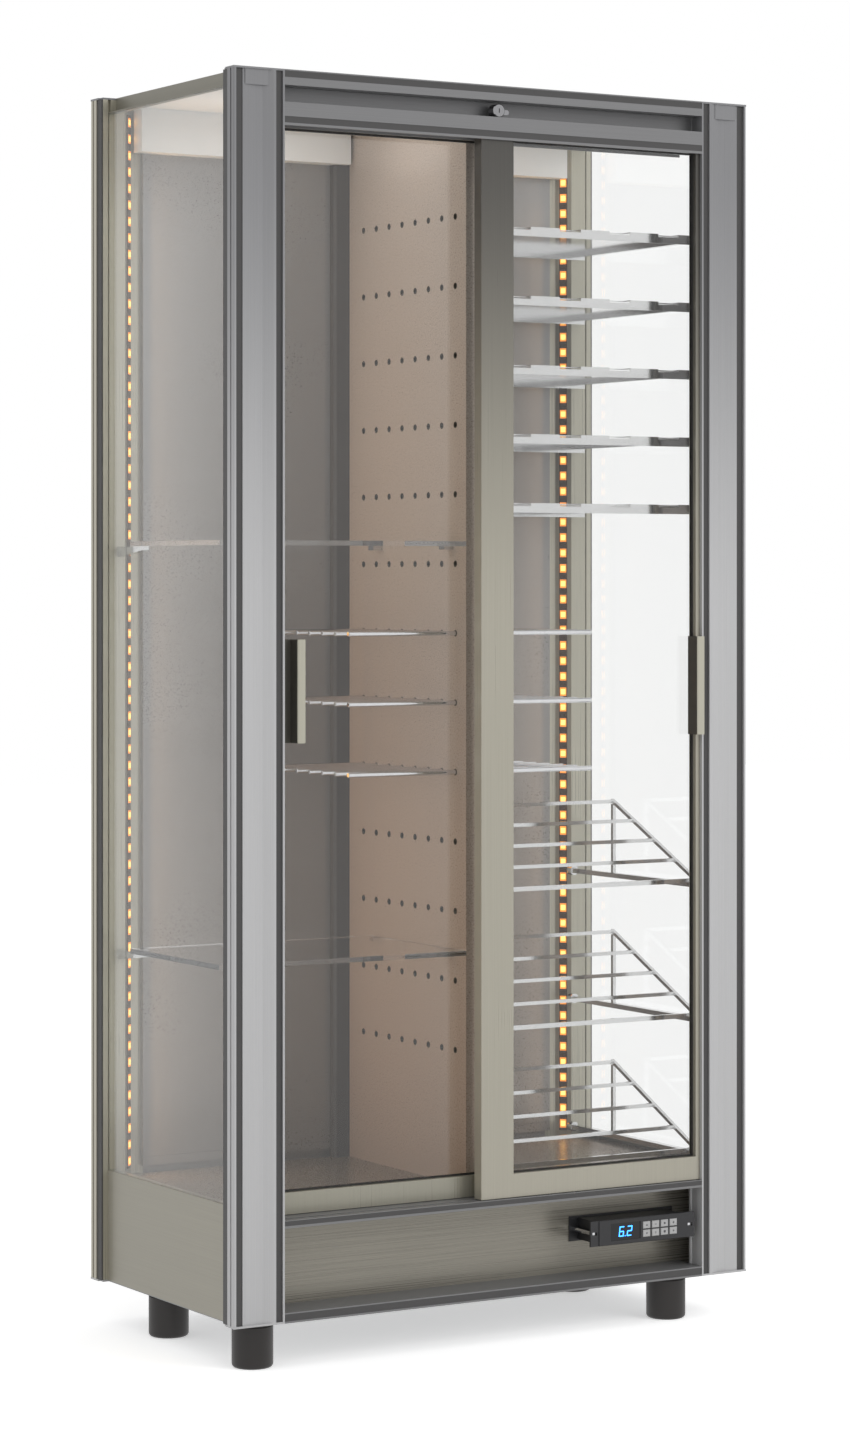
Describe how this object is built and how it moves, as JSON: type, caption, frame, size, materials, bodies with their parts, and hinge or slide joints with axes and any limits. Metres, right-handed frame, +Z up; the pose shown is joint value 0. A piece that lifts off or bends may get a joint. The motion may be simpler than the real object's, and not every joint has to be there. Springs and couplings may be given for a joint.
{
  "type": "wine_cooler",
  "caption": "Tall wine cooler with aluminium posts, glass sides, two sliding glass doors, a drilled middle wall, bottle and glass shelves, a lock and a control panel in the base",
  "frame": {"origin": "Centre of the bounding box at floor level, under the feet", "axes": "+X to the right seen from the front, +Y from the doors towards the back wall, +Z up"},
  "size_m": [0.96, 0.509, 2],
  "materials": {
    "brushed_aluminium": "Anodised and finely brushed along the length of each profile",
    "anthracite_trim": "Dark ribbed strips pressed into the grooves",
    "brushed_beige_steel": "Warm brushed steel with a horizontal grain",
    "galvanised_steel": "Plain zinc-coated sheet",
    "liner_white": "Pale satin coated inner sheet",
    "partition_panel": "Warm grey fine-textured coating, drilled in rows",
    "channel_grey": "Dark grey satin coating",
    "clear_glass": "Clear toughened glass with polished edges",
    "polished_steel": "Polished stainless steel",
    "lamp_strip": "Warm amber lamp strip behind a thin clear skin",
    "black_plastic": "Fine-textured black moulding",
    "display_window": "Smoked glossy window with lit blue figures",
    "key_grey": "Light grey satin moulding",
    "black_rubber": "Matt black moulding",
    "nylon": "Off-white turned nylon",
    "compressor_black": "Black enamel on pressed steel",
    "coil_aluminium": "Bare aluminium fins",
    "copper_pipe": "Bare drawn copper"
  },
  "bodies": {
    "cabinet": {"back_channel": "channel_grey", "back_panel": "liner_white", "base_grille_rear": "galvanised_steel", "base_pan": "galvanised_steel", "base_panel_front": "brushed_beige_steel", "base_rails": "brushed_aluminium", "base_side_panels": "brushed_beige_steel", "bottle_shelves": "polished_steel", "cabinet_floor": "liner_white", "ceiling_panel": "liner_white", "compressor": "compressor_black", "condenser_coil": "coil_aluminium", "controller_bezel": "black_plastic", "controller_display": "display_window", "controller_housing": "black_plastic", "controller_standoffs": "polished_steel", "display_shelves": "polished_steel", "door_track": "brushed_aluminium", "electrics_box": "black_plastic", "evaporator_coil": "coil_aluminium", "feet": "black_rubber", "glass_shelves": "clear_glass", "header_front": "brushed_aluminium", "header_rear": "brushed_aluminium", "led_strips": "lamp_strip", "lock_cylinder": "polished_steel", "partition": "partition_panel", "post_end_caps": "brushed_aluminium", "post_front_left": "brushed_aluminium", "post_front_right": "brushed_aluminium", "post_rear_left": "brushed_aluminium", "post_rear_right": "brushed_aluminium", "refrigerant_pipes": "copper_pipe", "rod_shelves": "polished_steel", "roof_panel": "brushed_beige_steel", "shelf_supports": "polished_steel", "side_glass_left": "clear_glass", "side_glass_right": "clear_glass", "trim_strips": "anthracite_trim"},
    "front_door": {"front_door_frame": "brushed_beige_steel", "front_door_glass": "clear_glass", "front_door_handle": "brushed_beige_steel"},
    "rear_door": {"rear_door_frame": "brushed_beige_steel", "rear_door_glass": "clear_glass", "rear_door_handle": "brushed_beige_steel"},
    "front_door_roller_left_wheel": {"front_door_roller_left": "nylon"},
    "front_door_roller_right_wheel": {"front_door_roller_right": "nylon"},
    "rear_door_roller_left_wheel": {"rear_door_roller_left": "nylon"},
    "rear_door_roller_right_wheel": {"rear_door_roller_right": "nylon"},
    "lock_barrel_plug": {"lock_plug": "polished_steel"},
    "key_1_cap": {"key_1": "key_grey"},
    "key_2_cap": {"key_2": "key_grey"},
    "key_3_cap": {"key_3": "key_grey"},
    "key_4_cap": {"key_4": "key_grey"},
    "key_5_cap": {"key_5": "key_grey"},
    "key_6_cap": {"key_6": "key_grey"},
    "key_7_cap": {"key_7": "key_grey"},
    "key_8_cap": {"key_8": "key_grey"},
    "condenser_rotor": {"condenser_fan": "black_plastic"},
    "evaporator_rotor": {"evaporator_fan": "black_plastic"}
  },
  "joints": [
    {"name": "front_door_slide", "type": "slide", "parent": "cabinet", "child": "front_door", "axis": [-1, 0, 0], "range_m": [0, 0.35]},
    {"name": "rear_door_slide", "type": "slide", "parent": "cabinet", "child": "rear_door", "axis": [1, 0, 0], "range_m": [0, 0.35]},
    {"name": "front_door_roller_left_turn", "type": "hinge", "parent": "front_door", "child": "front_door_roller_left_wheel", "pos_m": [0.0887, -0.226, 0.2323], "axis": [0, -1, 0], "range_deg": [0, 2510]},
    {"name": "front_door_roller_right_turn", "type": "hinge", "parent": "front_door", "child": "front_door_roller_right_wheel", "pos_m": [0.3225, -0.226, 0.2323], "axis": [0, -1, 0], "range_deg": [0, 2510]},
    {"name": "rear_door_roller_left_turn", "type": "hinge", "parent": "rear_door", "child": "rear_door_roller_left_wheel", "pos_m": [-0.3225, -0.187, 0.2323], "axis": [0, 1, 0], "range_deg": [0, 2510]},
    {"name": "rear_door_roller_right_turn", "type": "hinge", "parent": "rear_door", "child": "rear_door_roller_right_wheel", "pos_m": [-0.068, -0.187, 0.2323], "axis": [0, 1, 0], "range_deg": [0, 2510]},
    {"name": "lock_turn", "type": "hinge", "parent": "cabinet", "child": "lock_barrel_plug", "pos_m": [0, -0.231, 1.96075], "axis": [0, 1, 0], "range_deg": [0, 90]},
    {"name": "key_1_press", "type": "slide", "parent": "cabinet", "child": "key_1_cap", "axis": [0, 1, 0], "range_m": [0, 0.0008], "stiffness_N_per_m": 800},
    {"name": "key_2_press", "type": "slide", "parent": "cabinet", "child": "key_2_cap", "axis": [0, 1, 0], "range_m": [0, 0.0008], "stiffness_N_per_m": 800},
    {"name": "key_3_press", "type": "slide", "parent": "cabinet", "child": "key_3_cap", "axis": [0, 1, 0], "range_m": [0, 0.0008], "stiffness_N_per_m": 800},
    {"name": "key_4_press", "type": "slide", "parent": "cabinet", "child": "key_4_cap", "axis": [0, 1, 0], "range_m": [0, 0.0008], "stiffness_N_per_m": 800},
    {"name": "key_5_press", "type": "slide", "parent": "cabinet", "child": "key_5_cap", "axis": [0, 1, 0], "range_m": [0, 0.0008], "stiffness_N_per_m": 800},
    {"name": "key_6_press", "type": "slide", "parent": "cabinet", "child": "key_6_cap", "axis": [0, 1, 0], "range_m": [0, 0.0008], "stiffness_N_per_m": 800},
    {"name": "key_7_press", "type": "slide", "parent": "cabinet", "child": "key_7_cap", "axis": [0, 1, 0], "range_m": [0, 0.0008], "stiffness_N_per_m": 800},
    {"name": "key_8_press", "type": "slide", "parent": "cabinet", "child": "key_8_cap", "axis": [0, 1, 0], "range_m": [0, 0.0008], "stiffness_N_per_m": 800},
    {"name": "condenser_fan_spin", "type": "hinge", "parent": "cabinet", "child": "condenser_rotor", "pos_m": [0.09, 0.1615, 0.132], "axis": [0, 1, 0], "continuous": true},
    {"name": "evaporator_fan_spin", "type": "hinge", "parent": "cabinet", "child": "evaporator_rotor", "pos_m": [-0.33, 0.1615, 0.132], "axis": [0, 1, 0], "continuous": true}
  ],
  "couplings": [
    {"joint": "front_door_roller_left_turn", "follows": "front_door_slide", "rad_per_m": 125},
    {"joint": "front_door_roller_right_turn", "follows": "front_door_slide", "rad_per_m": 125},
    {"joint": "rear_door_roller_left_turn", "follows": "rear_door_slide", "rad_per_m": 125},
    {"joint": "rear_door_roller_right_turn", "follows": "rear_door_slide", "rad_per_m": 125}
  ]
}
